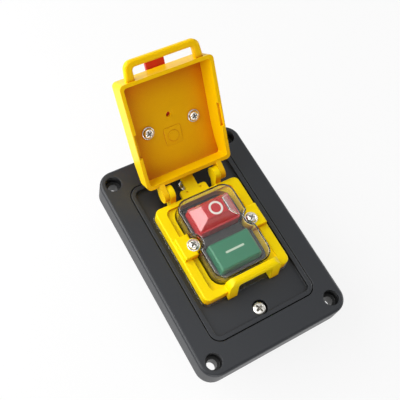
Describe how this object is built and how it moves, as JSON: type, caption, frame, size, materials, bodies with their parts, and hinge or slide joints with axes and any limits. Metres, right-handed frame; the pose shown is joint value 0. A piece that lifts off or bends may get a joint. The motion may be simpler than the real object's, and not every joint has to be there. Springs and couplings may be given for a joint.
{
  "type": "emergency stop switch",
  "caption": "Push-button machine switch on a black mounting plate: green start and red stop buttons under a clear splash boot, in a yellow guard with a hinged stop lid.",
  "frame": {"origin": "centre of the mounting plate's back face, midway between the four corner holes", "axes": "+X across the plate to the right, +Y along the plate towards the lid's hinge, +Z out of the plate's front, the way the buttons face"},
  "size_m": [0.09, 0.1542, 0.1126],
  "materials": {
    "black_plastic": "fine moulded grain, semi-matt",
    "yellow_plastic": "smooth moulded, slightly glossy",
    "red_plastic": "smooth moulded, glossy",
    "green_plastic": "smooth moulded, glossy",
    "clear_pvc": "clear soft plastic, glossy",
    "nickel_steel": "bright nickel plate",
    "spring_steel": "drawn wire, bright",
    "magnet_steel": "stamped laminations, dull",
    "copper_wire": "enamelled winding wire",
    "tinned_brass": "stamped strip, tinned",
    "bobbin_plastic": "natural moulded plastic"
  },
  "bodies": {
    "housing": {"base_plate": "black_plastic", "switch_panel": "black_plastic", "panel_screws": "nickel_steel", "switch_head": "black_plastic", "start_spring": "spring_steel", "stop_spring": "spring_steel", "splash_boot": "clear_pvc", "guard_frame": "yellow_plastic", "frame_screws": "nickel_steel", "hinge_pins": "nickel_steel", "switch_body": "black_plastic", "terminal_base": "black_plastic", "body_screws": "nickel_steel", "magnet_yoke": "magnet_steel", "coil_bobbin": "bobbin_plastic", "coil_winding": "copper_wire", "main_terminals": "tinned_brass", "stop_terminals": "tinned_brass", "coil_terminal": "tinned_brass"},
    "lid": {"lid_cover": "yellow_plastic", "strike_pad": "red_plastic", "lid_screws": "nickel_steel"},
    "start": {"start_button": "green_plastic", "contact_carrier": "bobbin_plastic", "armature": "magnet_steel", "contact_bridges": "tinned_brass", "contact_springs": "spring_steel"},
    "stop": {"stop_button": "red_plastic", "stop_plunger": "bobbin_plastic", "stop_bridge": "tinned_brass"}
  },
  "joints": [
    {"name": "lid_hinge", "type": "hinge", "parent": "housing", "child": "lid", "pos_m": [0, 0.0342, 0.021], "axis": [-1, 0, 0], "range_deg": [-130, 0]},
    {"name": "start_press", "type": "slide", "parent": "housing", "child": "start", "axis": [0, 0, -1], "range_m": [0, 0.003], "stiffness_N_per_m": 400, "springref_m": -0.003, "deforming": ["start_spring"]},
    {"name": "stop_press", "type": "slide", "parent": "housing", "child": "stop", "axis": [0, 0, -1], "range_m": [0, 0.003], "stiffness_N_per_m": 400, "springref_m": -0.003, "deforming": ["stop_spring"]}
  ]
}
